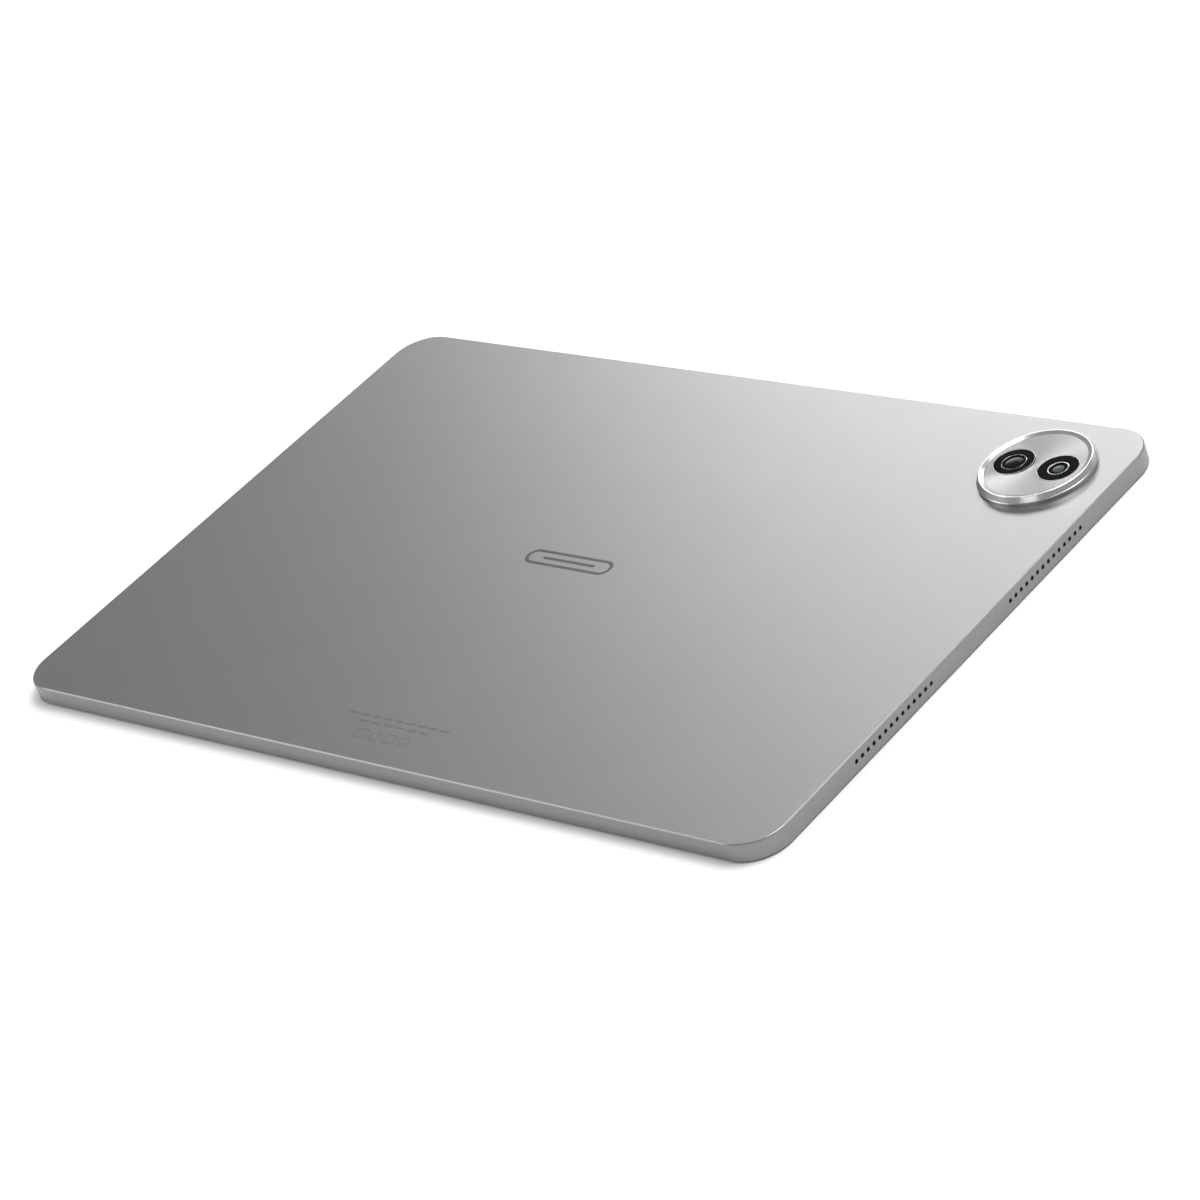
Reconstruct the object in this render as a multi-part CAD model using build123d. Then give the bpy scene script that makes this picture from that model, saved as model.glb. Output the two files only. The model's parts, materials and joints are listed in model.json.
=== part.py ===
from build123d import *
import os

# A tablet computer lying on its display, in millimetres. X runs along the body, Y across it and +Z out
# of its back. The origin is the centre of the cover glass's outer face, so z = 0 is that face.

# Body
length = 274.5
width = 180.5
thickness = 5.8
corner_radius = 11.5
side_wall = 1.2
back_wall = 0.8
wall_bottom = 0.35  # the wall's rim stops this far short of the glass's outer face
back_chamfer = 0.35
rim_chamfer = 0.12
fit_gap = 0.05  # between pieces that drop into each other
round_end_margin = 0.01  # keeps a full-round end just short of a half circle

# Front stack
glass_thickness = 0.55
glass_edge_fillet = 0.2
adhesive_thickness = 0.1
panel_thickness = 0.9
plate_thickness = 0.2
display_border = 5.8  # from the body's side to the lit area
panel_margin = 0.6  # the panel's own unlit edge
panel_gap = 0.2
frame_upright = 0.5
frame_bottom = 0.15
ledge_thickness = 0.7

# Front camera, in the middle of the long border
front_camera_wall_gap = 0.2
front_barrel_diameter = 2.6
front_body_length = 5.0
front_body_depth = 4.0
front_body_height = 2.5

# Rear camera island
camera_from_end = 24.65
camera_from_edge = 22.75
island_height = 2.4
island_band = 0.9  # upright part of the island's side, below its bevel
island_seat = 0.2  # depth of the housing's recess that the island's ring stands in
bevel_run = 0.9
lip_width = 0.3
lip_round = 0.1
lip_slope_run = 1.0  # from the lip in to the dish
dish_step = 0.45  # the dish's edge below the lip
dish_cone = 0.3  # the dish's middle below its edge
dish_shelf = 1.1  # width of the ring's shelf under the dish
dish_thickness = 0.9
spigot_wall = 0.3
lens_spacing = 14.5
lens_edge_margin = 1.1  # from a lens rim out to the dish's edge
lens_window_radius = 5.6
lens_window_thickness = 0.5
lens_rim_width = 0.35
lens_rim_height = 0.9
lens_rim_proud = 0.12
lens_rim_shelf = 0.6
lens_window_sink = 0.08
camera_body_size = 8.6
camera_barrel_radius = 3.6
camera_body_height = 1.9
camera_bracket_wall = 0.3
camera_flex_width = 3.0

# Speakers, two at each short end
speaker_hole_diameter = 1.2
speaker_hole_pitch = 2.5
speaker_holes_in_row = 14
speaker_row_offset = 34.1  # middle of a row from the body's middle
speaker_mesh_thickness = 0.2
speaker_mesh_margin = 1.2
speaker_box_depth = 11.0
speaker_box_margin = 2.0
speaker_box_wall = 0.7
speaker_slot_height = 1.8
driver_depth = 7.5
driver_length = 20.0
driver_thickness = 1.4
driver_corner = 2.5
driver_groove = 0.8

# Socket at one short end
socket_width = 8.84
socket_height = 3.06
socket_wall = 0.25
socket_depth = 7.3
socket_sink = 0.25
socket_opening_gap = 0.1
socket_pocket = 0.25
tongue_width = 6.69
tongue_thickness = 0.7
tongue_length = 4.9
socket_back_wall = 0.6
seal_rim = 0.3
seal_thickness = 1.0
socket_board_length = 20.0
socket_board_depth = 14.0
socket_board_thickness = 0.6

# Keys on the long edge beside the cameras
power_key_length = 10.5
volume_key_length = 21.0
key_height = 2.0
key_proud = 0.35
key_gap = 0.12  # around a key in its slot
flange_margin = 0.6  # beyond the key's ends
flange_lip = 0.35  # above and below the key
flange_thickness = 0.5
power_key_from_end = 70.0
volume_key_from_end = 45.0
key_rest_gap = 0.02  # between the power key's flange and the wall
rocker_rest_gap = 0.3  # room for the rocker's flange to tilt
nub_depth = 1.02  # a nub's tip, from the wall's inner face
nub_diameter = 1.2
rocker_nub_spacing = 15.0
switch_gap = 0.3
switch_length = 3.0
switch_height = 2.0
switch_depth = 1.0
switch_button_diameter = 1.4
switch_button_height = 0.2
key_flex_thickness = 0.15
bracket_thickness = 0.5
bracket_foot = 3.0
bracket_margin = 2.0
rocker_pivot_radius = 0.5

# Antenna windows and microphones in the key side's wall
window_length = 24.0
window_top_margin = 1.2
left_window_from_end = 32.0
right_window_from_end = 105.0
microphone_hole_diameter = 0.8
microphone_length = 3.5
microphone_depth = 1.2
microphone_height = 2.6
left_microphone_from_end = 52.0
right_microphone_from_end = 87.0

# Magnets and pen charging coil
magnet_length = 14.0
magnet_depth = 2.4
magnet_height = 2.6
keyboard_magnets = 6
keyboard_magnet_pitch = 36.0
pen_coil_length = 24.0
pen_coil_bar = 0.9
pen_coil_depth = 1.0
pen_magnet_length = 10.0
pen_magnet_gap = 3.0

# Main board
board_depth = 46.0
board_thickness = 0.8
board_from_left_end = 60.0
board_from_key_side = 5.6
board_camera_gap = 2.5
boss_height = 1.5
boss_diameter = 3.4
screw_shank_diameter = 1.2
screw_hole_gap = 0.05
screw_head_diameter = 2.6
screw_head_height = 0.4
screw_length = 1.9
board_hole_diameter = 1.5
board_screw_inset = 3.0
chip_height = 0.9
processor_size = 15.0
memory_size = 12.4
storage_length = 13.0
storage_width = 11.5
can_wall = 0.15
can_height = 1.25
main_can_length = 50.0
main_can_width = 26.0
radio_can_length = 30.0
radio_can_width = 22.0
can_spacing = 52.0
chip_spacing = 15.5
spreader_margin = 3.0

# Battery
cell_gap = 2.0
cell_end_gap = 7.5
cell_swell_gap = 0.2
cell_corner = 2.0
cell_adhesive_thickness = 0.1
cell_adhesive_width = 18.0
battery_board_width = 4.0
battery_board_thickness = 0.8
battery_board_gap = 0.6
battery_plug_offset = 15.0

# Flexible circuits
flex_thickness = 0.12
flex_lift = 0.03
connector_length = 8.0
connector_width = 3.0
link_flex_width = 8.0
link_flex_inset = 13.0
display_flex_width = 30.0
display_flex_reach = 13.0
display_flex_offset = 32.0

# Levels and edges worked out from the sizes above
half_length = length / 2
half_width = width / 2
inner_x = half_length - side_wall
inner_y = half_width - side_wall
panel_bottom = glass_thickness + adhesive_thickness
plate_bottom = panel_bottom + panel_thickness
inside_bottom = plate_bottom + plate_thickness
inside_top = thickness - back_wall
wall_middle = (wall_bottom + thickness) / 2
front_camera_y = half_width - side_wall - front_camera_wall_gap - front_body_depth / 2
socket_middle = (inside_bottom + inside_top) / 2
frame_inset = side_wall + fit_gap
glass_inset = frame_inset + frame_upright + fit_gap
panel_inset = display_border - panel_margin
ledge_inner_inset = panel_inset - panel_gap
ledge_top = panel_bottom + ledge_thickness
row_span = (speaker_holes_in_row - 1) * speaker_hole_pitch + speaker_hole_diameter
camera_x = half_length - camera_from_end
camera_y = half_width - camera_from_edge
dish_radius = lens_spacing / 2 + lens_window_radius + lens_rim_width + lens_edge_margin
lip_outer_radius = dish_radius + lip_slope_run + lip_width
island_radius = lip_outer_radius + bevel_run
spigot_radius = dish_radius + spigot_wall
seat_bottom = thickness - island_seat
board_top = inside_top - boss_height
board_bottom = board_top - board_thickness
board_left = -half_length + board_from_left_end
board_right = camera_x - lens_spacing / 2 - camera_body_size / 2 - board_camera_gap
board_far = inner_y - board_from_key_side
board_near = board_far - board_depth
board_middle_x = (board_left + board_right) / 2
board_middle_y = (board_near + board_far) / 2
cell_bottom = inside_bottom + cell_swell_gap
cell_top = inside_top - cell_adhesive_thickness
battery_end = inner_x - speaker_mesh_thickness - speaker_box_depth - cell_end_gap
battery_far = board_near - 2 * battery_board_gap - battery_board_width
battery_near = -inner_y + magnet_depth + 2 * battery_board_gap
flex_bottom = inside_bottom + flex_lift
flex_top = flex_bottom + flex_thickness
power_key_x = half_length - power_key_from_end
volume_key_x = half_length - volume_key_from_end
switch_back = inner_y - nub_depth - switch_gap - switch_button_height - switch_depth
rocker_pivot_y = switch_back + fit_gap + rocker_pivot_radius


def body_slab(inset, low, high):
    """The body's outline moved in by inset, between two heights."""
    outline = RectangleRounded(length - 2 * inset, width - 2 * inset, max(corner_radius - inset, 1.0))
    return extrude(Pos(0, 0, low) * outline, amount=high - low)


def block(x_range, y_range, z_range):
    """A box between two values on each axis."""
    sizes = [high - low for low, high in (x_range, y_range, z_range)]
    middle = [(low + high) / 2 for low, high in (x_range, y_range, z_range)]
    return Pos(*middle) * Box(*sizes)


def round_block(x, y, size_x, size_y, radius, low, high):
    """A rounded rectangle centred at x, y, between two heights."""
    return extrude(Pos(x, y, low) * RectangleRounded(size_x, size_y, radius), amount=high - low)


def disc(x, y, radius, low, high):
    """A round plate or post about a vertical axis."""
    return Pos(x, y, (low + high) / 2) * Cylinder(radius, high - low)


def turned(x, y, profile):
    """A ring turned about the vertical axis through x, y, from a closed list of (radius, height)."""
    section = make_face(Polyline(*[(radius, 0, height) for radius, height in profile], close=True))
    return Pos(x, y, 0) * revolve(section, Axis.Z)


def edge_slot(x, y_low, y_high, size_x, size_z, radius):
    """A rounded bar that runs through a long wall at mid height."""
    outline = Plane.XZ * Pos(x, wall_middle) * RectangleRounded(size_x, size_z, radius)
    return Pos(0, y_high, 0) * extrude(outline, amount=y_high - y_low)


def end_slot(x_low, x_high, size_y, size_z, radius):
    """A rounded bar that runs along X at the socket's height."""
    outline = Plane.YZ * Pos(0, socket_middle) * RectangleRounded(size_y, size_z, radius)
    return Pos(x_low, 0, 0) * extrude(outline, amount=x_high - x_low)


def wall_pin(x, y_low, y_high, diameter):
    """A round pin or hole across a long wall at mid height."""
    return Pos(x, (y_low + y_high) / 2, wall_middle) * Rot(90, 0, 0) * Cylinder(diameter / 2, y_high - y_low)


def speaker_places():
    """Number, end of the body (-1 or 1) and middle of the hole row for each speaker."""
    places = []
    for end in (-1, 1):
        for side in (-1, 1):
            places.append((len(places) + 1, end, side * speaker_row_offset))
    return places


def span(a, b):
    """Two values in rising order."""
    return (min(a, b), max(a, b))


def board_screw_places():
    """Screws at the board's corners and at the middle of its long sides."""
    places = []
    for x in (board_left + board_screw_inset, board_middle_x, board_right - board_screw_inset):
        for y in (board_near + board_screw_inset, board_far - board_screw_inset):
            places.append((x, y))
    return places


def camera_places():
    """Middle of the main lens, nearer the body's end, and of the second lens."""
    return {"main": camera_x + lens_spacing / 2, "second": camera_x - lens_spacing / 2}


def window_places():
    """Middle of each antenna window along the key side."""
    return {
        "left": -half_length + left_window_from_end,
        "right": half_length - right_window_from_end,
    }


def microphone_places():
    """Middle of each microphone along the key side."""
    return [-half_length + left_microphone_from_end, half_length - right_microphone_from_end]


def pen_coil_x():
    """The pen's coil stands midway between the left microphone and the front camera."""
    return min(microphone_places()) / 2


def window_block(x):
    """The antenna window's space: through the wall, from its rim to below the back's corner."""
    return block(
        (x - window_length / 2, x + window_length / 2),
        (inner_y, half_width),
        (wall_bottom, thickness - window_top_margin),
    )


def rear_housing():
    """The metal tub: back and side walls in one piece, with every hole in it."""
    shell = body_slab(0, wall_bottom, thickness)
    shell = chamfer(shell.faces().sort_by(Axis.Z)[-1].outer_wire().edges(), back_chamfer)
    shell = chamfer(shell.faces().sort_by(Axis.Z)[0].outer_wire().edges(), rim_chamfer)
    shell -= body_slab(side_wall, wall_bottom, inside_top)
    shell -= disc(camera_x, camera_y, spigot_radius + fit_gap, inside_top, thickness)
    shell -= disc(camera_x, camera_y, island_radius + fit_gap, seat_bottom, thickness)
    first_hole = -(speaker_holes_in_row - 1) * speaker_hole_pitch / 2
    drill = Rot(0, 90, 0) * Cylinder(speaker_hole_diameter / 2, side_wall)
    holes = []
    for _, end, row_middle in speaker_places():
        for i in range(speaker_holes_in_row):
            y = row_middle + first_hole + i * speaker_hole_pitch
            holes.append(Pos(end * (half_length - side_wall / 2), y, wall_middle) * drill)
    shell -= holes
    opening_width = socket_width + 2 * socket_opening_gap
    opening_height = socket_height + 2 * socket_opening_gap
    opening_radius = opening_height / 2 - round_end_margin
    shell -= end_slot(-half_length, -inner_x, opening_width, opening_height, opening_radius)
    pocket_x = (-inner_x, -half_length + socket_sink + socket_depth + socket_opening_gap)
    pocket_half = socket_width / 2 + 2 * seal_rim
    shell -= block(pocket_x, (-pocket_half, pocket_half), (inside_top, inside_top + socket_pocket))
    for x, key_length in ((power_key_x, power_key_length), (volume_key_x, volume_key_length)):
        slot_height = key_height + 2 * key_gap
        slot_radius = slot_height / 2 - round_end_margin
        shell -= edge_slot(x, inner_y, half_width, key_length + 2 * key_gap, slot_height, slot_radius)
    for x in microphone_places():
        shell -= wall_pin(x, inner_y, half_width, microphone_hole_diameter)
    for x in window_places().values():
        shell -= window_block(x)
    for x, y in board_screw_places():
        shell += disc(x, y, boss_diameter / 2, board_top, inside_top)
        hole_radius = screw_shank_diameter / 2 + screw_hole_gap
        shell -= disc(x, y, hole_radius, board_top, board_bottom + screw_length + fit_gap)
    return shell


def bezel_frame():
    """The plastic frame between the wall and the glass, with a ledge that the glass is glued to."""
    upright = body_slab(frame_inset, frame_bottom, ledge_top)
    upright -= body_slab(frame_inset + frame_upright, frame_bottom, ledge_top)
    ledge = body_slab(frame_inset, panel_bottom, ledge_top)
    ledge -= body_slab(ledge_inner_inset, panel_bottom, ledge_top)
    hole_radius = front_barrel_diameter / 2 + 2 * fit_gap
    return upright + ledge - disc(0, front_camera_y, hole_radius, panel_bottom, ledge_top)


def cover_glass():
    """The front glass, with its outer edge rounded off."""
    glass = body_slab(glass_inset, 0, glass_thickness)
    return fillet(glass.faces().sort_by(Axis.Z)[0].outer_wire().edges(), glass_edge_fillet)


def perimeter_adhesive():
    """Glue line between the glass and the frame's ledge, open around the front camera."""
    ring = body_slab(frame_inset + frame_upright + fit_gap, glass_thickness, panel_bottom)
    ring -= body_slab(ledge_inner_inset, glass_thickness, panel_bottom)
    hole_radius = front_barrel_diameter / 2 + 2 * fit_gap
    return ring - disc(0, front_camera_y, hole_radius, glass_thickness, panel_bottom)


def front_camera_module():
    """Barrel that looks out through the glass, on a square body."""
    body_low = inside_bottom + 2 * fit_gap
    body_high = body_low + front_body_height
    barrel = disc(0, front_camera_y, front_barrel_diameter / 2, panel_bottom, body_low)
    x_range = (-front_body_length / 2, front_body_length / 2)
    y_range = (front_camera_y - front_body_depth / 2, front_camera_y + front_body_depth / 2)
    return barrel + block(x_range, y_range, (body_low, body_high))


def camera_ring():
    """The island's outer ring: upright band, polished bevel, thin lip and a slope down to the dish."""
    lip_top = thickness + island_height
    dish_edge = lip_top - dish_step
    shelf = dish_edge - dish_thickness
    lip_inner = lip_outer_radius - lip_width
    profile = [
        (dish_radius - dish_shelf, inside_top),
        (spigot_radius, inside_top),
        (spigot_radius, seat_bottom),
        (island_radius, seat_bottom),
        (island_radius, thickness + island_band),
        (island_radius - lip_round, thickness + island_band + lip_round),
        (lip_outer_radius + lip_round, lip_top - lip_round),
        (lip_outer_radius, lip_top),
        (lip_inner, lip_top),
        (dish_radius, dish_edge),
        (dish_radius, shelf),
        (dish_radius - dish_shelf, shelf),
    ]
    return turned(camera_x, camera_y, profile)


def camera_dish():
    """The shallow coned plate inside the ring, with a hole for each lens rim."""
    dish_edge = thickness + island_height - dish_step
    shelf = dish_edge - dish_thickness
    radius = dish_radius - fit_gap
    profile = [(0, shelf), (radius, shelf), (radius, dish_edge), (0, dish_edge - dish_cone)]
    plate = turned(camera_x, camera_y, profile)
    for x in camera_places().values():
        plate -= disc(x, camera_y, lens_window_radius + lens_rim_width + fit_gap, shelf, dish_edge)
    return plate


def lens_rim_top():
    """Height of the lens rims, just proud of the dish where the lenses stand in it."""
    dish_edge = thickness + island_height - dish_step
    return dish_edge - dish_cone / 2 + lens_rim_proud


def lens_rim(x):
    """A thin metal rim with a shelf that the window rests on."""
    top = lens_rim_top()
    outer = lens_window_radius + lens_rim_width
    bore = lens_window_radius + fit_gap / 2
    shelf = top - lens_window_sink - lens_window_thickness
    bottom = top - lens_rim_height
    profile = [
        (bore - lens_rim_shelf, bottom),
        (outer, bottom),
        (outer, top - lip_round),
        (outer - lip_round, top),
        (bore + lip_round, top),
        (bore, top - lip_round),
        (bore, shelf),
        (bore - lens_rim_shelf, shelf),
    ]
    return turned(x, camera_y, profile)


def lens_window(x):
    """A round window, set a little below its rim."""
    top = lens_rim_top() - lens_window_sink
    return disc(x, camera_y, lens_window_radius, top - lens_window_thickness, top)


def camera_module(x, flex_step):
    """Square body, a barrel up to its window and a flexible tail down to the main board."""
    body_low = board_bottom - flex_thickness
    half_size = camera_body_size / 2
    body_high = body_low + camera_body_height
    y_range = (camera_y - half_size, camera_y + half_size)
    body = block((x - half_size, x + half_size), y_range, (body_low, body_high))
    barrel_top = lens_rim_top() - lens_rim_height - fit_gap
    body += disc(x, camera_y, camera_barrel_radius, body_high, barrel_top)
    tail_near = camera_y - half_size - flex_step - camera_flex_width
    tail_x = (board_right - connector_length, x + camera_flex_width / 2)
    tail_z = (body_low, board_bottom)
    body += block(tail_x, (tail_near, tail_near + camera_flex_width), tail_z)
    drop_x = (x - camera_flex_width / 2, x + camera_flex_width / 2)
    return body + block(drop_x, (tail_near, camera_y - half_size), tail_z)


def camera_bracket():
    """Sheet-metal tray under both camera bodies, with lips at its ends."""
    half_x = lens_spacing / 2 + camera_body_size / 2 + fit_gap
    half_y = camera_body_size / 2
    high = board_bottom - flex_thickness
    low = high - camera_bracket_wall
    lip_high = high + camera_body_height / 2
    outer_x = half_x + camera_bracket_wall
    x_range = (camera_x - outer_x, camera_x + outer_x)
    tray = block(x_range, (camera_y - half_y, camera_y + half_y), (low, high))
    for end in (-1, 1):
        lip_x = span(camera_x + end * half_x, camera_x + end * outer_x)
        tray += block(lip_x, (camera_y - half_y, camera_y + half_y), (high, lip_high))
    return tray


def key(x, key_length, rest_gap, nub_xs):
    """A key cap through the wall, a flange behind the wall that keeps it in, and nubs for its switches."""
    flange_far = inner_y - rest_gap
    flange_near = flange_far - flange_thickness
    cap_radius = key_height / 2 - round_end_margin
    cap = edge_slot(x, flange_far, half_width + key_proud, key_length, key_height, cap_radius)
    cap = fillet(cap.faces().sort_by(Axis.Y)[-1].outer_wire().edges(), key_proud / 2)
    flange_height = key_height + 2 * flange_lip
    cap += edge_slot(x, flange_near, flange_far, key_length + 2 * flange_margin, flange_height, flange_margin)
    for nub_x in nub_xs:
        cap += wall_pin(nub_x, inner_y - nub_depth, flange_near, nub_diameter)
    return cap


def rocker_nubs():
    """The two switch positions under the volume key."""
    return [volume_key_x - rocker_nub_spacing / 2, volume_key_x + rocker_nub_spacing / 2]


def volume_key():
    """The rocker, with a rounded rib at its middle that it tilts about."""
    rocker = key(volume_key_x, volume_key_length, rocker_rest_gap, rocker_nubs())
    rib_x = (volume_key_x - rocker_pivot_radius, volume_key_x + rocker_pivot_radius)
    rib_z = (wall_middle - key_height / 2, wall_middle + key_height / 2)
    rocker += block(rib_x, (rocker_pivot_y, inner_y - rocker_rest_gap - flange_thickness), rib_z)
    return rocker + disc(volume_key_x, rocker_pivot_y, rocker_pivot_radius, *rib_z)


def tactile_switch(x):
    """A side-press switch: its button faces the key, its back lies on the key circuit."""
    button_far = inner_y - nub_depth - switch_gap
    body_far = button_far - switch_button_height
    x_range = (x - switch_length / 2, x + switch_length / 2)
    z_range = (wall_middle - switch_height / 2, wall_middle + switch_height / 2)
    body = block(x_range, (switch_back, body_far), z_range)
    return body + wall_pin(x, body_far, button_far, switch_button_diameter)


def key_flex():
    """One strip behind all three switches, with a tail to the main board."""
    near = switch_back - key_flex_thickness
    x_low = power_key_x - power_key_length
    x_high = volume_key_x + volume_key_length / 2
    z_range = (wall_middle - switch_height / 2, wall_middle + switch_height / 2)
    strip = block((x_low, x_high), (near, switch_back), z_range)
    tail_x = (x_low, x_low + connector_width)
    strip += block(tail_x, (board_far - connector_length, near), (z_range[0], z_range[0] + flex_thickness))
    plug_y = (board_far - connector_length, board_far - connector_length + connector_width)
    return strip + block(tail_x, plug_y, (z_range[0] + flex_thickness, board_bottom))


def key_bracket(x, key_length):
    """An angle of sheet steel that backs the switches, with its foot on the housing's back wall."""
    far = switch_back - key_flex_thickness
    near = far - bracket_thickness
    half = key_length / 2 + bracket_margin
    x_range = (x - half, x + half)
    upright = block(x_range, (near, far), (wall_middle - switch_height / 2, inside_top))
    return upright + block(x_range, (near - bracket_foot, near), (inside_top - bracket_thickness, inside_top))


def usb_socket_shell():
    """The socket's drawn metal sleeve, closed at its inner end."""
    mouth = -half_length + socket_sink
    back = mouth + socket_depth
    outer = end_slot(mouth, back, socket_width, socket_height, socket_height / 2 - round_end_margin)
    bore_width = socket_width - 2 * socket_wall
    bore_height = socket_height - 2 * socket_wall
    bore_radius = bore_height / 2 - round_end_margin
    return outer - end_slot(mouth, back - socket_back_wall, bore_width, bore_height, bore_radius)


def usb_tongue():
    """The contact blade in the middle of the socket."""
    back = -half_length + socket_sink + socket_depth - socket_back_wall
    x_range = (back - tongue_length, back)
    z_range = (socket_middle - tongue_thickness / 2, socket_middle + tongue_thickness / 2)
    return block(x_range, (-tongue_width / 2, tongue_width / 2), z_range)


def usb_seal():
    """Rubber collar around the socket, pressed against the wall's inner face."""
    x_low = -inner_x
    x_high = x_low + seal_thickness
    outer = end_slot(x_low, x_high, socket_width + 2 * seal_rim, socket_height + 2 * seal_rim, seal_rim)
    return outer - end_slot(x_low, x_high, socket_width, socket_height, socket_height / 2 - round_end_margin)


def usb_board():
    """Small board around the socket's back half."""
    x_low = -inner_x + seal_thickness + fit_gap
    x_high = x_low + socket_board_depth
    z_low = socket_middle - socket_board_thickness / 2
    z_range = (z_low, z_low + socket_board_thickness)
    half_y = socket_board_length / 2
    board = block((x_low, x_high), (-half_y, half_y), z_range)
    cut_half = socket_width / 2 + fit_gap
    cut_high = -half_length + socket_sink + socket_depth + fit_gap
    return board - block((x_low, cut_high), (-cut_half, cut_half), z_range)


def speaker_box(end, row_middle):
    """A speaker's sealed chamber, open to the hole row through a slot and to its driver below."""
    wall_side = inner_x - speaker_mesh_thickness
    inner_side = wall_side - speaker_box_depth
    half_y = row_span / 2 + speaker_box_margin
    low = inside_bottom + cell_swell_gap
    high = inside_top - 2 * fit_gap
    y_range = (row_middle - half_y, row_middle + half_y)
    box = block(span(end * inner_side, end * wall_side), y_range, (low, high))
    chamber_x = span(end * (inner_side + speaker_box_wall), end * (wall_side - speaker_box_wall))
    chamber_y = (y_range[0] + speaker_box_wall, y_range[1] - speaker_box_wall)
    box -= block(chamber_x, chamber_y, (low + speaker_box_wall, high - speaker_box_wall))
    slot_z = (wall_middle - speaker_slot_height / 2, wall_middle + speaker_slot_height / 2)
    slot_x = span(end * (wall_side - speaker_box_wall), end * wall_side)
    box -= block(slot_x, (row_middle - row_span / 2, row_middle + row_span / 2), slot_z)
    mouth_x = driver_depth + 2 * fit_gap
    mouth_y = driver_length + 2 * fit_gap
    mouth_top = low + speaker_box_wall
    mouth = round_block(end * driver_middle(), row_middle, mouth_x, mouth_y, driver_corner, low, mouth_top)
    return box - mouth


def driver_middle():
    """Distance of the drivers from the body's middle."""
    return inner_x - speaker_mesh_thickness - speaker_box_depth / 2


def speaker_driver(end, row_middle):
    """A flat driver with a groove for its surround, set in the box's open face."""
    low = inside_bottom + cell_swell_gap
    high = low + driver_thickness
    x = end * driver_middle()
    driver = round_block(x, row_middle, driver_depth, driver_length, driver_corner, low, high)
    groove_high = low + driver_groove / 2
    outer_x = driver_depth - 2 * driver_groove
    outer_y = driver_length - 2 * driver_groove
    groove = round_block(x, row_middle, outer_x, outer_y, driver_corner - driver_groove, low, groove_high)
    inner_size_x = outer_x - 2 * driver_groove
    inner_size_y = outer_y - 2 * driver_groove
    groove -= round_block(x, row_middle, inner_size_x, inner_size_y, driver_groove, low, groove_high)
    return driver - groove


def speaker_mesh(end, row_middle):
    """The dust mesh behind a row of holes."""
    half_y = row_span / 2 + speaker_mesh_margin
    half_z = speaker_hole_diameter / 2 + speaker_mesh_margin / 2
    x_range = span(end * (inner_x - speaker_mesh_thickness), end * inner_x)
    z_range = (wall_middle - half_z, wall_middle + half_z)
    return block(x_range, (row_middle - half_y, row_middle + half_y), z_range)


def battery_cell(side):
    """One of the two pouch cells, with rounded corners."""
    size_x = battery_end - cell_gap / 2
    size_y = battery_far - battery_near
    middle_x = side * (cell_gap / 2 + size_x / 2)
    middle_y = (battery_far + battery_near) / 2
    return round_block(middle_x, middle_y, size_x, size_y, cell_corner, cell_bottom, cell_top)


def battery_adhesive():
    """Two strips of stretch-release tape under each cell."""
    strips = []
    y_range = (battery_near + cell_corner, battery_far - cell_corner)
    cell_length = battery_end - cell_gap / 2
    for side in (-1, 1):
        for part in (-1, 1):
            middle = side * (cell_gap / 2 + cell_length / 2) + part * cell_length / 4
            x_range = (middle - cell_adhesive_width / 2, middle + cell_adhesive_width / 2)
            strips.append(block(x_range, y_range, (cell_top, inside_top)))
    return Compound(children=strips)


def battery_board():
    """The protection board between the cells and the main board, with its plug."""
    near = battery_far + battery_board_gap
    z_range = (board_bottom, board_bottom + battery_board_thickness)
    half = battery_end / 2
    strip = block((-half, half), (near, near + battery_board_width), z_range)
    plug_middle = board_middle_x - battery_plug_offset
    plug_x = (plug_middle - connector_length / 2, plug_middle + connector_length / 2)
    plug_y = (near, board_near + connector_width)
    return strip + block(plug_x, plug_y, (flex_top + fit_gap, board_bottom))


def mainboard():
    """The main circuit board, drilled for its screws."""
    board = block((board_left, board_right), (board_near, board_far), (board_bottom, board_top))
    for x, y in board_screw_places():
        board -= disc(x, y, board_hole_diameter / 2, board_bottom, board_top)
    return board


def chip(x, y, size_x, size_y):
    """A packaged chip on the board's back side."""
    x_range = (x - size_x / 2, x + size_x / 2)
    return block(x_range, (y - size_y / 2, y + size_y / 2), (board_top, board_top + chip_height))


def shield_can(x, size_x, size_y):
    """A folded metal lid over a group of chips."""
    y = board_middle_y
    top = board_top + can_height
    outer = block((x - size_x / 2, x + size_x / 2), (y - size_y / 2, y + size_y / 2), (board_top, top))
    half_x = size_x / 2 - can_wall
    half_y = size_y / 2 - can_wall
    return outer - block((x - half_x, x + half_x), (y - half_y, y + half_y), (board_top, top - can_wall))


def main_can_x():
    """Middle of the processor's shield can."""
    return board_middle_x + can_spacing / 2


def radio_can_x():
    """Middle of the radio's shield can."""
    return board_middle_x - can_spacing / 2


def heat_spreader():
    """Copper sheet between the processor's shield can and the back wall."""
    half_x = main_can_length / 2 - spreader_margin
    half_y = main_can_width / 2 - spreader_margin
    x_range = (main_can_x() - half_x, main_can_x() + half_x)
    y_range = (board_middle_y - half_y, board_middle_y + half_y)
    return block(x_range, y_range, (board_top + can_height, inside_top))


def board_screws():
    """The screws that hold the main board to the housing's posts."""
    screws = []
    for x, y in board_screw_places():
        head = disc(x, y, screw_head_diameter / 2, board_bottom - screw_head_height, board_bottom)
        shank = disc(x, y, screw_shank_diameter / 2, board_bottom, board_bottom + screw_length)
        screws.append(head + shank)
    return Compound(children=screws)


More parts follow.
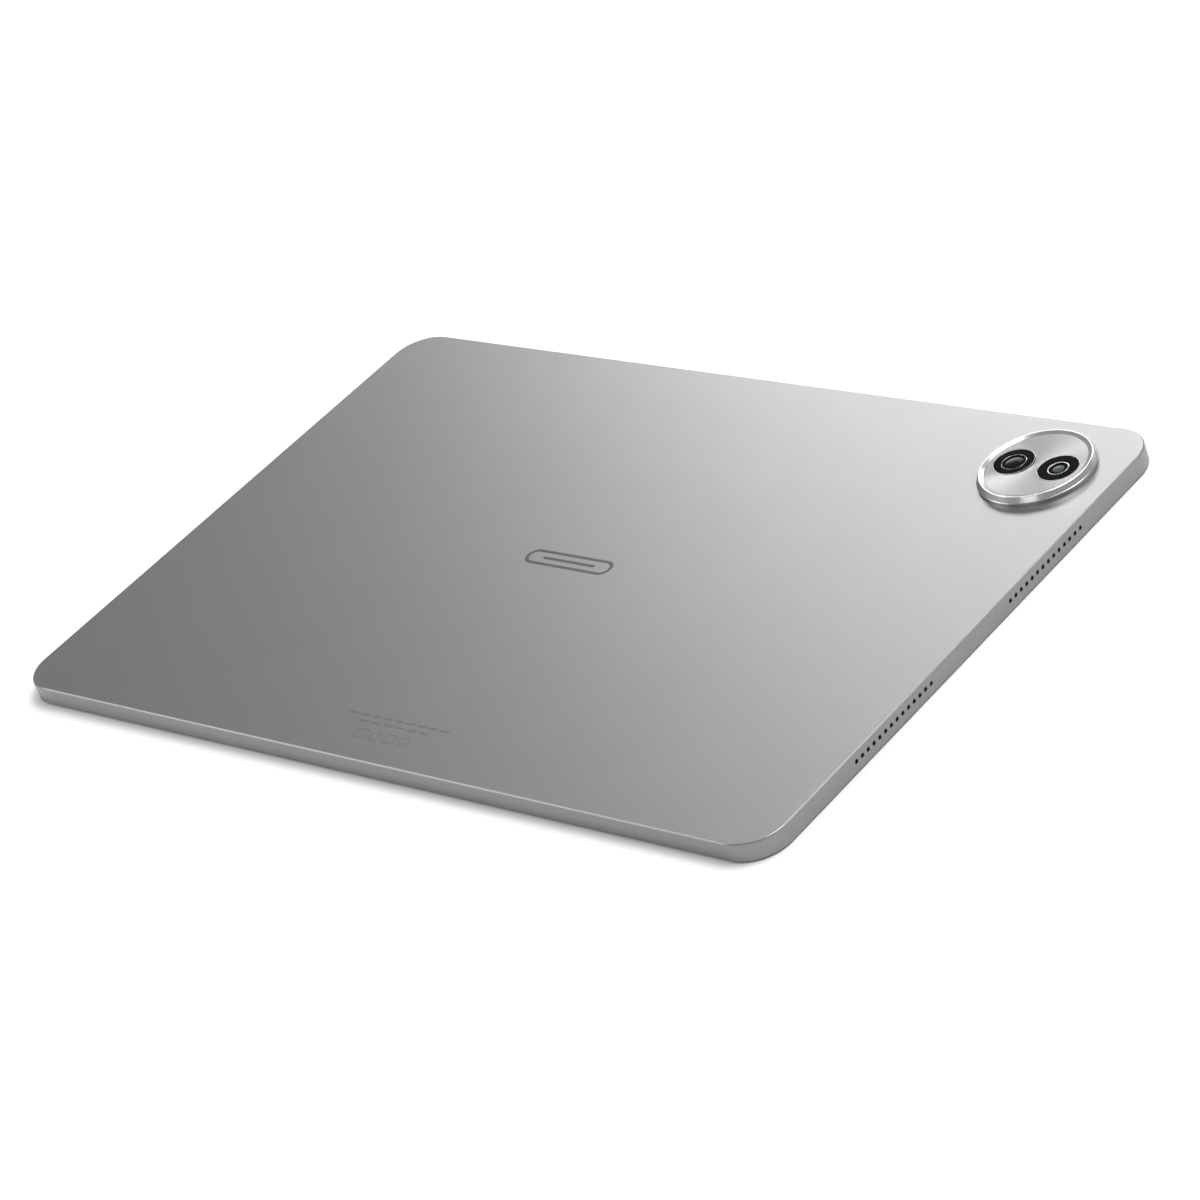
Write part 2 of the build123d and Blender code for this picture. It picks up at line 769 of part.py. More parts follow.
def board_link_flex():
    """Circuit from the main board, along the left cell and under it, to the socket's board."""
    z_range = (flex_bottom, flex_top)
    run_left = -battery_end + link_flex_inset - link_flex_width
    run_right = -battery_end + link_flex_inset
    high_y = board_near + board_screw_inset + screw_head_diameter + link_flex_width
    low_y = -link_flex_width / 2
    plug_right = board_left + board_screw_inset + screw_head_diameter
    strip = block((run_left, run_right), (low_y, high_y), z_range)
    strip += block((run_left, plug_right), (high_y - link_flex_width, high_y), z_range)
    board_x = -inner_x + seal_thickness + fit_gap + socket_board_depth
    strip += block((board_x - connector_width, run_right), (low_y, link_flex_width / 2), z_range)
    upper_plug_y = (high_y - link_flex_width, high_y)
    strip += block((plug_right - connector_width, plug_right), upper_plug_y, (flex_top, board_bottom))
    socket_board_bottom = socket_middle - socket_board_thickness / 2
    lower_plug_y = (-connector_length / 2, connector_length / 2)
    return strip + block((board_x - connector_width, board_x), lower_plug_y, (flex_top, socket_board_bottom))


def display_flex():
    """Circuit that leaves the panel's edge, folds round the backing plate and plugs into the board."""
    middle_x = board_middle_x - display_flex_offset
    x_range = (middle_x - display_flex_width / 2, middle_x + display_flex_width / 2)
    panel_edge = half_width - panel_inset
    fold_far = panel_edge + flex_lift + flex_thickness
    upright = block(x_range, (panel_edge + flex_lift, fold_far), (panel_bottom + panel_gap, flex_top))
    reach_near = panel_edge - display_flex_reach
    strip = upright + block(x_range, (reach_near, fold_far), (flex_bottom, flex_top))
    joint_z = (panel_bottom + panel_gap, plate_bottom)
    strip += block(x_range, (panel_edge, panel_edge + flex_lift), joint_z)
    return strip + block(x_range, (reach_near, reach_near + connector_width), (flex_top, board_bottom))


def edge_magnets():
    """A row of bar magnets for a keyboard along one long side, and two for a pen along the other."""
    bars = []
    half = magnet_length / 2
    z_range = (wall_middle - magnet_height / 2, wall_middle + magnet_height / 2)
    for i in range(keyboard_magnets):
        x = (i - (keyboard_magnets - 1) / 2) * keyboard_magnet_pitch
        bars.append(block((x - half, x + half), (-inner_y, -inner_y + magnet_depth), z_range))
    pen_half = pen_magnet_length / 2
    for side in (-1, 1):
        x = pen_coil_x() + side * (pen_coil_length / 2 + pen_magnet_gap + pen_half)
        bars.append(block((x - pen_half, x + pen_half), (inner_y - magnet_depth, inner_y), z_range))
    return Compound(children=bars)


def pen_charging_coil():
    """A flat wound loop that stands against the wall between the pen's magnets."""
    x = pen_coil_x()
    height = magnet_height
    near = inner_y - pen_coil_depth
    outer = edge_slot(x, near, inner_y, pen_coil_length, height, height / 2 - round_end_margin)
    inner_height = height - 2 * pen_coil_bar
    inner_length = pen_coil_length - 2 * pen_coil_bar
    inner_radius = inner_height / 2 - round_end_margin
    return outer - edge_slot(x, near, inner_y, inner_length, inner_height, inner_radius)


def microphones():
    """Two microphones behind their holes."""
    cans = []
    z_range = (wall_middle - microphone_height / 2, wall_middle + microphone_height / 2)
    for x in microphone_places():
        half = microphone_length / 2
        cans.append(block((x - half, x + half), (inner_y - microphone_depth, inner_y), z_range))
    return Compound(children=cans)


def all_parts():
    """Every sub-part of the tablet, by name."""
    parts = {
        "rear_housing": rear_housing(),
        "bezel_frame": bezel_frame(),
        "cover_glass": cover_glass(),
        "perimeter_adhesive": perimeter_adhesive(),
        "display_adhesive": body_slab(panel_inset, glass_thickness, panel_bottom),
        "display_panel": body_slab(panel_inset, panel_bottom, plate_bottom),
        "display_backing_plate": body_slab(panel_inset, plate_bottom, inside_bottom),
        "camera_ring": camera_ring(),
        "camera_dish": camera_dish(),
        "camera_bracket": camera_bracket(),
        "front_camera_module": front_camera_module(),
        "power_key": key(power_key_x, power_key_length, key_rest_gap, [power_key_x]),
        "volume_key": volume_key(),
        "key_switches": Compound(children=[tactile_switch(x) for x in (power_key_x, *rocker_nubs())]),
        "key_flex": key_flex(),
        "power_key_bracket": key_bracket(power_key_x, power_key_length),
        "volume_key_bracket": key_bracket(volume_key_x, volume_key_length),
        "usb_socket_shell": usb_socket_shell(),
        "usb_tongue": usb_tongue(),
        "usb_seal": usb_seal(),
        "usb_board": usb_board(),
        "battery_cell_left": battery_cell(-1),
        "battery_cell_right": battery_cell(1),
        "battery_adhesive": battery_adhesive(),
        "battery_board": battery_board(),
        "mainboard": mainboard(),
        "processor": chip(main_can_x() - chip_spacing, board_middle_y, processor_size, processor_size),
        "memory_chip": chip(main_can_x(), board_middle_y, memory_size, memory_size),
        "storage_chip": chip(main_can_x() + chip_spacing, board_middle_y, storage_width, storage_length),
        "radio_chip": chip(radio_can_x(), board_middle_y, memory_size, memory_size),
        "main_shield_can": shield_can(main_can_x(), main_can_length, main_can_width),
        "radio_shield_can": shield_can(radio_can_x(), radio_can_length, radio_can_width),
        "heat_spreader": heat_spreader(),
        "board_link_flex": board_link_flex(),
        "display_flex": display_flex(),
        "board_screws": board_screws(),
        "edge_magnets": edge_magnets(),
        "pen_charging_coil": pen_charging_coil(),
        "microphones": microphones(),
    }
    for place, x in window_places().items():
        parts[f"antenna_window_{place}"] = window_block(x)
    for step, (place, x) in enumerate(camera_places().items()):
        parts[f"{place}_lens_rim"] = lens_rim(x)
        parts[f"{place}_lens_window"] = lens_window(x)
        flex_step = (1 - step) * (camera_flex_width + 1)
        parts[f"{place}_camera_module"] = camera_module(x, flex_step)
    for number, end, row_middle in speaker_places():
        parts[f"speaker_box_{number}"] = speaker_box(end, row_middle)
        parts[f"speaker_driver_{number}"] = speaker_driver(end, row_middle)
        parts[f"speaker_mesh_{number}"] = speaker_mesh(end, row_middle)
    return parts


os.makedirs("parts", exist_ok=True)
for name, shape in all_parts().items():
    export_step(shape, f"parts/{name}.step")
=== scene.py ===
import json
import math
from functools import partial

import bmesh
import bpy
from mathutils import Matrix, Vector


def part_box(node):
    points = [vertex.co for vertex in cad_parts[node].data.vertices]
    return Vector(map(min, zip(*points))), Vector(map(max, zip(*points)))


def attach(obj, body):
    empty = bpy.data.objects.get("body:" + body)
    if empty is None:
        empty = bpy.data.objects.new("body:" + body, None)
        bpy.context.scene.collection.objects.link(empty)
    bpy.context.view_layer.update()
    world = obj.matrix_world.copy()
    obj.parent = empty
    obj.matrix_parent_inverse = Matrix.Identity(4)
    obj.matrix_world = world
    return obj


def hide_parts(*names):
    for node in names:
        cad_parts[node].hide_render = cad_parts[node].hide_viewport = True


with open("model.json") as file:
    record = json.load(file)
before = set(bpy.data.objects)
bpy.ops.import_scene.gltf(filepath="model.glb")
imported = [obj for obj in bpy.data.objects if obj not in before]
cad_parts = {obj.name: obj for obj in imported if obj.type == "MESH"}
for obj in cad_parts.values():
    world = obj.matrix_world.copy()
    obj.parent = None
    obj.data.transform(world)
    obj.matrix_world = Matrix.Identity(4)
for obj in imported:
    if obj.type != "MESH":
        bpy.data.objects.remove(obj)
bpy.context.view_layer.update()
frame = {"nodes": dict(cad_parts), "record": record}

MM = 0.001
BODY = "tablet"

# The housing's box gives the body's outline; lengths below are in millimetres
housing_low, housing_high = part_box("rear_housing")
half_x = housing_high.x / MM
half_y = housing_high.y / MM
back_z = housing_high.z / MM
rim_z = housing_low.z / MM
corner_radius = 11.5
side_wall = 1.2
back_wall = 0.8
back_chamfer = 0.35
rim_chamfer = 0.12
edge_round = 0.05
corner_steps = 24

# Openings in the housing
speaker_hole_radius = 0.6
speaker_hole_pitch = 2.5
speaker_holes_in_row = 14
hole_flare = 0.12
hole_sides = 32
ring_seat = 0.2
ring_gap = 0.05
socket_gap = 0.1
key_lengths = {"power_key": 10.5, "volume_key": 21.0}
key_half_height = 1.0
key_gap = 0.12
microphone_half_length = 1.75
microphone_hole_radius = 0.4
past = 0.5  # how far a cutter reaches past what it cuts
full_round = 0.01  # keeps a round end's radius just short of half its height

# Camera island: radii and steps of the turned pieces
ring_bore = 13.2
spigot_radius = 14.4
spigot_depth = 0.4
ring_radius = 16.5
band_height = 0.82
bevel_foot = (16.36, 0.96)
lip_outer = 15.6
lip_inner = 15.26
ring_round = 0.04
slope_foot = (14.3, 0.47)
ring_depth = 1.35
dish_cone = 0.3
dish_edge = 0.03
dish_rings = (0.85, 0.7, 0.55, 0.4, 0.25, 0.1)  # shares of the dish's radius
dish_middle = 0.95  # share of the cone's depth that its middle has
rim_outer = 5.95
rim_inner = 5.63
rim_foot = 5.0
rim_depth = 0.9
rim_seat = 0.58
rim_gap = 0.02
lens_radius = 5.6
lens_thickness = 0.5
lens_sink = 0.08
lens_step = 0.86  # share of a lens's bore that its second step keeps
lens_ring_gap = 0.02
element_drop = 0.38
element_rise = 0.03  # share of a front element's radius that it is domed by
glint_radius = 0.3
glint_rise = 0.1
glint_drop = 0.345
dome_rings = 10
ring_steps = 256
lens_steps = 128
element_steps = 96


def rounded_outline(size_x, size_y, radius, steps=corner_steps):
    """Points of a rounded rectangle centred on the origin, anticlockwise; sizes are half lengths."""
    points = []
    for quarter, (sx, sy) in enumerate(((1, 1), (-1, 1), (-1, -1), (1, -1))):
        for i in range(steps + 1):
            angle = math.radians(90 * quarter + 90 * i / steps)
            x = sx * (size_x - radius) + radius * math.cos(angle)
            y = sy * (size_y - radius) + radius * math.sin(angle)
            points.append((x, y))
    return points


def circle_outline(radius, steps):
    """Points of a circle, anticlockwise."""
    turns = [2 * math.pi * i / steps for i in range(steps)]
    return [(radius * math.cos(t), radius * math.sin(t)) for t in turns]


def linked_object(name, mesh_builder):
    """An object in the scene, its mesh made by a bmesh builder."""
    mesh = bpy.data.meshes.new(name)
    bm = bmesh.new()
    mesh_builder(bm)
    bmesh.ops.recalc_face_normals(bm, faces=bm.faces)
    bm.to_mesh(mesh)
    bm.free()
    made = bpy.data.objects.new(name, mesh)
    bpy.context.scene.collection.objects.link(made)
    return made


def new_piece(name, mesh_builder, replaced=(), smooth_angle=30):
    """Makes a piece, shades it smooth between its sharp edges and rides it on the tablet's body."""
    piece = linked_object(name, mesh_builder)
    finish_shading(piece, smooth_angle)
    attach(piece, BODY)
    if replaced:
        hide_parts(*replaced)
    return piece


def finish_shading(piece, smooth_angle):
    """Smooth faces, sharp edges past an angle, and normals that keep the flat faces flat."""
    piece.data.shade_smooth()
    piece.data.set_sharp_from_angle(angle=math.radians(smooth_angle))
    weighted = piece.modifiers.new("flat_normals", "WEIGHTED_NORMAL")
    weighted.keep_sharp = True
    weighted.weight = 80


def set_material(thing, material):
    """Gives an object one material, in place of any it had."""
    thing.data.materials.clear()
    thing.data.materials.append(material)


def add_loft(bm, outlines):
    """Joins closed outlines, each a list of (x, y, z) in millimetres, and caps both ends."""
    loops = []
    for outline in outlines:
        loops.append([bm.verts.new(Vector(point) * MM) for point in outline])
    for lower, upper in zip(loops, loops[1:]):
        for i in range(len(lower)):
            j = (i + 1) % len(lower)
            bm.faces.new((lower[i], lower[j], upper[j], upper[i]))
    bm.faces.new(reversed(loops[0]))
    bm.faces.new(loops[-1])


def add_lathe(bm, x, y, profile, steps):
    """Turns a closed list of (radius, z), in millimetres, about the vertical axis through x, y."""
    rings = []
    for radius, z in profile:
        if radius == 0:
            rings.append([bm.verts.new(Vector((x, y, z)) * MM)] * steps)
            continue
        ring = [bm.verts.new(Vector((x + px, y + py, z)) * MM) for px, py in circle_outline(radius, steps)]
        rings.append(ring)
    for lower, upper in zip(rings, rings[1:] + rings[:1]):
        for i in range(steps):
            j = (i + 1) % steps
            corners = []
            for vert in (lower[i], lower[j], upper[j], upper[i]):
                if vert not in corners:
                    corners.append(vert)
            if len(corners) > 2:
                bm.faces.new(corners)


def at_height(outline, z):
    """A flat outline lifted to a height."""
    return [(x, y, z) for x, y in outline]


def body_outline(inset, z):
    """The body's outline moved in by inset, at a height."""
    return at_height(rounded_outline(half_x - inset, half_y - inset, corner_radius - inset), z)


def cut(piece, cutter_builder):
    """Cuts a builder's closed shapes out of a piece, and shades it again."""
    cutter = linked_object("cutter", cutter_builder)
    piece.modifiers.clear()
    boolean = piece.modifiers.new("cut", "BOOLEAN")
    boolean.object = cutter
    boolean.operation = "DIFFERENCE"
    boolean.solver = "EXACT"
    graph = bpy.context.evaluated_depsgraph_get()
    result = bpy.data.meshes.new_from_object(piece.evaluated_get(graph))
    piece.modifiers.clear()
    piece.data = result
    bpy.data.objects.remove(cutter)
    finish_shading(piece, 30)


# ---------------------------------------------------------------- materials

def new_material(name):
    """A material with its Principled shader and object coordinates, in metres."""
    material = bpy.data.materials.new(name)
    material.use_nodes = True
    nodes = material.node_tree.nodes
    shader = nodes["Principled BSDF"]
    place = nodes.new("ShaderNodeTexCoord").outputs["Object"]
    return material, nodes, material.node_tree.links, shader, place


def noise(nodes, links, place, scale, detail=3.0, stretch=(1, 1, 1)):
    """Noise over object coordinates; scale is in waves per metre."""
    mapping = nodes.new("ShaderNodeMapping")
    mapping.inputs["Scale"].default_value = stretch
    links.new(place, mapping.inputs["Vector"])
    texture = nodes.new("ShaderNodeTexNoise")
    texture.inputs["Scale"].default_value = scale
    texture.inputs["Detail"].default_value = detail
    links.new(mapping.outputs["Vector"], texture.inputs["Vector"])
    return texture.outputs["Fac"]


def remap(nodes, links, value, low, high):
    """Maps a 0 to 1 value to a range."""
    node = nodes.new("ShaderNodeMapRange")
    node.inputs["To Min"].default_value = low
    node.inputs["To Max"].default_value = high
    links.new(value, node.inputs["Value"])
    return node.outputs["Result"]


def tint(nodes, links, value, dark, light):
    """A colour between two colours by a 0 to 1 value."""
    mix = nodes.new("ShaderNodeMix")
    mix.data_type = "RGBA"
    mix.inputs["A"].default_value = (*dark, 1)
    mix.inputs["B"].default_value = (*light, 1)
    links.new(value, mix.inputs["Factor"])
    return mix.outputs["Result"]


def add_bump(nodes, links, shader, height, strength, distance):
    """Bump from a height value; distance is in metres."""
    bump = nodes.new("ShaderNodeBump")
    bump.inputs["Strength"].default_value = strength
    bump.inputs["Distance"].default_value = distance
    links.new(height, bump.inputs["Height"])
    links.new(bump.outputs["Normal"], shader.inputs["Normal"])


broad_grain = 60  # waves per metre
brushing_grain = 14000
brushing_contrast = (0.94, 1.04)
across_brushing = 0.25  # of a turn, so that reflections spread across the brushed rings


def finish(name, dark, light, metallic, rough, grain=9000, bump=0.15,
           stretch=(1, 1, 1), coat=0.0, specular=0.5):
    """A surface whose colour varies with a broad noise, and its roughness and bump with a fine grain."""
    material, nodes, links, shader, place = new_material(name)
    broad = noise(nodes, links, place, broad_grain, 4.0)
    fine = noise(nodes, links, place, grain, 2.0, stretch)
    links.new(tint(nodes, links, broad, dark, light), shader.inputs["Base Color"])
    links.new(remap(nodes, links, fine, rough[0], rough[1]), shader.inputs["Roughness"])
    shader.inputs["Metallic"].default_value = metallic
    shader.inputs["Specular IOR Level"].default_value = specular
    shader.inputs["Coat Weight"].default_value = coat
    shader.inputs["Coat Roughness"].default_value = 0.05
    add_bump(nodes, links, shader, fine, bump, 0.02 * MM)
    return material


def grey(value, blue=0.0):
    """A neutral colour, or a slightly cool one."""
    return (value, value, value + blue)


def brushed_disc(name, colour, rough, anisotropy, centre):
    """Metal with circular brushing about a vertical axis."""
    material, nodes, links, shader, place = new_material(name)
    shift = nodes.new("ShaderNodeVectorMath")
    shift.operation = "SUBTRACT"
    shift.inputs[1].default_value = centre
    links.new(place, shift.inputs[0])
    flat = nodes.new("ShaderNodeVectorMath")
    flat.operation = "MULTIPLY"
    flat.inputs[1].default_value = (1, 1, 0)
    links.new(shift.outputs["Vector"], flat.inputs[0])
    radius = nodes.new("ShaderNodeVectorMath")
    radius.operation = "LENGTH"
    links.new(flat.outputs["Vector"], radius.inputs[0])
    rings = nodes.new("ShaderNodeTexNoise")
    rings.noise_dimensions = "1D"
    rings.inputs["Scale"].default_value = brushing_grain
    rings.inputs["Detail"].default_value = 4.0
    links.new(radius.outputs["Value"], rings.inputs["W"])
    dark, light = (tuple(c * share for c in colour) for share in brushing_contrast)
    links.new(tint(nodes, links, rings.outputs["Fac"], dark, light), shader.inputs["Base Color"])
    links.new(remap(nodes, links, rings.outputs["Fac"], rough[0], rough[1]), shader.inputs["Roughness"])
    shader.inputs["Metallic"].default_value = 1.0
    shader.inputs["Anisotropic"].default_value = anisotropy
    shader.inputs["Anisotropic Rotation"].default_value = across_brushing
    tangent = nodes.new("ShaderNodeTangent")
    tangent.direction_type = "RADIAL"
    tangent.axis = "Z"
    links.new(tangent.outputs["Tangent"], shader.inputs["Tangent"])
    add_bump(nodes, links, shader, rings.outputs["Fac"], 0.12, 0.01 * MM)
    return material


ring_low, ring_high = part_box("camera_ring")
ring_centre = (ring_low + ring_high) / 2

anodised = finish("anodised_aluminium", grey(0.262, 0.001), grey(0.278, 0.001), 1.0, (0.36, 0.44), 14000, 0.2)
polished = brushed_disc("polished_ring", grey(0.55, 0.002), (0.22, 0.3), 0.4, ring_centre)
silver = brushed_disc("brushed_silver", grey(0.2, 0.002), (0.22, 0.3), 1.0, ring_centre)
gloss_black = finish("lens_black", grey(0.002), grey(0.004), 0.0, (0.05, 0.08), 3000, 0.01, specular=0.04)
lens_rim_metal = finish("lens_rim_metal", grey(0.20), grey(0.23), 1.0, (0.14, 0.22), 20000, 0.05)
lens_ring_metal = finish("lens_ring_metal", grey(0.42), grey(0.46), 1.0, (0.14, 0.22), 20000, 0.05)
glint_glass = finish("glint_glass", grey(0.01), grey(0.015), 0.0, (0.1, 0.14), 3000, 0.01)


# ---------------------------------------------------------------- housing

def housing_mesh(bm):
    """Closed tub: inner ceiling, inner wall, rim, outer wall, polished chamfer and back."""
    inner = [(side_wall, back_z - back_wall), (side_wall, rim_z)]
    rim = [(rim_chamfer, rim_z), (0, rim_z + rim_chamfer)]
    wall_top = back_z - back_chamfer - edge_round
    chamfer_run = back_chamfer + edge_round
    outer = [
        (0, wall_top),
        (edge_round * 0.4, wall_top + edge_round * 1.2),
        (chamfer_run - edge_round * 1.2, back_z - edge_round * 0.4),
        (chamfer_run, back_z),
    ]
    add_loft(bm, [body_outline(inset, z) for inset, z in inner + rim + outer])


def add_wall_hole(bm, along, outline, wall_outer, place):
    """A cutter through a wall: an outline (u, z) with a small flare at the wall's outer face.

    along is "x" for the short ends and "y" for the key side; place is where the outline's zero lies."""
    sign = 1 if wall_outer > 0 else -1
    depth_steps = ((-past, hole_flare + past), (0.0, hole_flare), (hole_flare, 0.0), (side_wall + past, 0.0))
    outlines = []
    for depth, grow in depth_steps:
        level = wall_outer - sign * depth
        points = []
        for u, z in outline:
            length = math.hypot(u, z)
            ratio = (length + grow) / length
            wide, high = place[0] + u * ratio, place[1] + z * ratio
            points.append((level, wide, high) if along == "x" else (wide, level, high))
        outlines.append(points)
    add_loft(bm, outlines)


def row_middles():
    """Middle of each speaker row, from the meshes behind them."""
    places = []
    for number in range(1, 5):
        middle = box_middle(f"speaker_mesh_{number}")
        places.append((1 if middle.x > 0 else -1, middle.y, middle.z))
    return places


def box_middle(node):
    """Middle of a CAD node's box, in millimetres."""
    low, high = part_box(node)
    return (low + high) / 2 / MM


def box_size(node):
    """Size of a CAD node's box, in millimetres."""
    low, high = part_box(node)
    return (high - low) / MM


def housing_cuts(bm):
    """The camera ring's seat, speaker holes, socket opening, key slots and microphone holes."""
    seat = circle_outline((ring_high.x - ring_low.x) / 2 / MM + ring_gap, 192)
    seat = [(ring_centre.x / MM + px, ring_centre.y / MM + py) for px, py in seat]
    add_loft(bm, [at_height(seat, back_z - ring_seat), at_height(seat, back_z + 2 * past)])
    hole = circle_outline(speaker_hole_radius, hole_sides)
    for end, middle_y, middle_z in row_middles():
        for i in range(speaker_holes_in_row):
            y = middle_y + (i - (speaker_holes_in_row - 1) / 2) * speaker_hole_pitch
            add_wall_hole(bm, "x", hole, end * half_x, (y, middle_z))
    shell = box_size("usb_socket_shell")
    shell_middle = box_middle("usb_socket_shell")
    mouth = shell.z / 2 + socket_gap
    opening = rounded_outline(shell.y / 2 + socket_gap, mouth, mouth - full_round, 12)
    add_wall_hole(bm, "x", opening, -half_x, (0, shell_middle.z))
    slot_half = key_half_height + key_gap
    for node, key_length in key_lengths.items():
        slot = rounded_outline(key_length / 2 + key_gap, slot_half, slot_half - full_round, 12)
        middle = box_middle(node)
        add_wall_hole(bm, "y", slot, half_y, (middle.x, middle.z))
    low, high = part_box("microphones")
    microphone = circle_outline(microphone_hole_radius, 24)
    for x in (low.x / MM + microphone_half_length, high.x / MM - microphone_half_length):
        add_wall_hole(bm, "y", microphone, half_y, (x, (low.z + high.z) / 2 / MM))


def window_cuts(bm):
    """The antenna windows' places in the key side's wall."""
    for node in ("antenna_window_left", "antenna_window_right"):
        low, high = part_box(node)
        low, high = low / MM, high / MM
        corners = ((low.x, rim_z - past), (high.x, rim_z - past), (high.x, high.z), (low.x, high.z))
        add_loft(bm, [[(x, y, z) for x, z in corners] for y in (low.y - past, high.y + past)])


housing = new_piece("housing", housing_mesh, replaced=("rear_housing",))
cut(housing, housing_cuts)
cut(housing, window_cuts)
set_material(housing, anodised)


# ---------------------------------------------------------------- camera island

def ring_mesh(bm):
    """Spigot, upright band, polished bevel, thin lip and the slope down to the dish."""
    top = ring_high.z / MM
    profile = [
        (ring_bore, back_z - spigot_depth),
        (spigot_radius, back_z - spigot_depth),
        (spigot_radius, back_z - ring_seat),
        (ring_radius - ring_round, back_z - ring_seat),
        (ring_radius, back_z - ring_seat + ring_round),
        (ring_radius, back_z + band_height),
        (bevel_foot[0] + 0.08, back_z + bevel_foot[1] - 0.06),
        (bevel_foot[0], back_z + bevel_foot[1]),
        (lip_outer + 0.08, top - 0.12),
        (lip_outer, top - ring_round),
        (lip_outer - 0.08, top),
        (lip_inner + 0.08, top),
        (lip_inner, top - ring_round),
        (slope_foot[0] + 0.06, top - slope_foot[1] + 0.04),
        (slope_foot[0], top - slope_foot[1]),
        (slope_foot[0], top - ring_depth),
        (ring_bore, top - ring_depth),
    ]
    add_lathe(bm, ring_centre.x / MM, ring_centre.y / MM, profile, ring_steps)


dish_low, dish_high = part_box("camera_dish")
lens_places = {"main": box_middle("main_lens_rim"), "second": box_middle("second_lens_rim")}
lens_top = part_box("main_lens_rim")[1].z / MM
lens_face_top = lens_top - lens_sink


def dish_mesh(bm):
    """A shallow cone, a few rings so that its normals stay smooth."""
    edge = dish_high.z / MM
    low = dish_low.z / MM
    radius = (dish_high.x - dish_low.x) / 2 / MM
    profile = [(0, low), (radius, low), (radius, edge - dish_edge), (radius - dish_edge, edge)]
    for share in dish_rings:
        profile.append((radius * share, edge - dish_cone * (1 - share)))
    profile.append((0, edge - dish_cone * dish_middle))
    add_lathe(bm, ring_centre.x / MM, ring_centre.y / MM, profile, ring_steps)


def lens_hole_cuts(bm):
    """The holes that the lens rims stand in."""
    outline = circle_outline(rim_outer + rim_gap, element_steps)
    low, high = dish_low.z / MM - 2 * past, dish_high.z / MM + 2 * past
    for place in lens_places.values():
        around = [(place.x + px, place.y + py) for px, py in outline]
        add_loft(bm, [at_height(around, low), at_height(around, high)])


ring = new_piece("camera_ring_metal", ring_mesh, ("camera_ring",), smooth_angle=25)
set_material(ring, polished)
dish = new_piece("camera_dish_metal", dish_mesh, ("camera_dish",))
cut(dish, lens_hole_cuts)
set_material(dish, silver)


def lens_rim_mesh(bm, place):
    """The thin rim round a lens window."""
    profile = [
        (rim_foot, lens_top - rim_depth),
        (rim_outer, lens_top - rim_depth),
        (rim_outer, lens_top - 0.08),
        (rim_outer - 0.05, lens_top - 0.02),
        (rim_outer - 0.11, lens_top),
        (rim_inner + 0.11, lens_top),
        (rim_inner + 0.03, lens_top - 0.03),
        (rim_inner, lens_top - 0.1),
        (rim_inner, lens_top - rim_seat),
        (rim_foot, lens_top - rim_seat),
    ]
    add_lathe(bm, place.x, place.y, profile, lens_steps)


def lens_face_mesh(bm, place, bore):
    """The black front disc of a lens, with a stepped bore in its middle."""
    top = lens_face_top
    profile = [
        (0, top - lens_thickness),
        (lens_radius, top - lens_thickness),
        (lens_radius, top - 0.02),
        (lens_radius - 0.03, top),
        (bore + 0.04, top),
        (bore, top - 0.04),
        (bore, top - 0.22),
        (bore * lens_step, top - 0.22),
        (bore * lens_step, top - 0.3),
        (0, top - 0.3),
    ]
    add_lathe(bm, place.x, place.y, profile, lens_steps)


def lens_ring_mesh(bm, place, radius, width):
    """A thin bright ring inside a lens, just under its face."""
    top = lens_face_top - 0.03
    profile = [
        (radius, top - 0.12),
        (radius + width, top - 0.12),
        (radius + width, top - 0.03),
        (radius + width * 0.6, top),
        (radius + width * 0.3, top),
        (radius, top - 0.05),
    ]
    add_lathe(bm, place.x, place.y, profile, lens_steps)


def lens_dome_mesh(bm, place, radius, height, base):
    """A shallow dome, for a lens's front element or the small element inside it."""
    profile = [(0, base), (radius, base)]
    for i in range(1, dome_rings):
        angle = math.radians(90 * i / dome_rings)
        profile.append((radius * math.cos(angle), base + height * math.sin(angle)))
    profile.append((0, base + height))
    add_lathe(bm, place.x, place.y, profile, element_steps)


teal_glass = finish("teal_element", (0.03, 0.04, 0.041), (0.045, 0.056, 0.058), 0.0, (0.1, 0.14), 2000, 0.0,
                    specular=0.05)
dark_glass = finish("dark_element", grey(0.003), grey(0.006, 0.001), 0.0, (0.06, 0.1), 2000, 0.0,
                    specular=0.04)

lens_looks = {
    "main": {"bore": 2.95, "ring": 0.28, "element": 1.6, "glass": teal_glass, "glint": (0.45, -0.35)},
    "second": {"bore": 3.5, "ring": 0.14, "element": 2.5, "glass": dark_glass, "glint": (1.2, 0.9)},
}

for name, place in lens_places.items():
    look = lens_looks[name]
    bore, ring_width, element_radius = look["bore"], look["ring"], look["element"]
    rim = new_piece(f"{name}_rim", partial(lens_rim_mesh, place=place),
                    (f"{name}_lens_rim",), smooth_angle=25)
    set_material(rim, lens_rim_metal)
    face = new_piece(f"{name}_lens_face", partial(lens_face_mesh, place=place, bore=bore),
                     (f"{name}_lens_window",), smooth_angle=25)
    set_material(face, gloss_black)
    ring_builder = partial(lens_ring_mesh, place=place, radius=bore - ring_width - lens_ring_gap,
                           width=ring_width)
    bright = new_piece(f"{name}_lens_ring", ring_builder, smooth_angle=60)
    set_material(bright, lens_ring_metal)
    element_builder = partial(lens_dome_mesh, place=place, radius=element_radius,
                              height=element_radius * element_rise, base=lens_top - element_drop)
    element = new_piece(f"{name}_lens_element", element_builder, smooth_angle=40)
    set_material(element, look["glass"])
    glint_builder = partial(lens_dome_mesh, place=place + Vector((*look["glint"], 0)), radius=glint_radius,
                            height=glint_rise, base=lens_top - glint_drop)
    glint = new_piece(f"{name}_lens_inner", glint_builder, smooth_angle=40)
    set_material(glint, glint_glass)


# ---------------------------------------------------------------- front glass

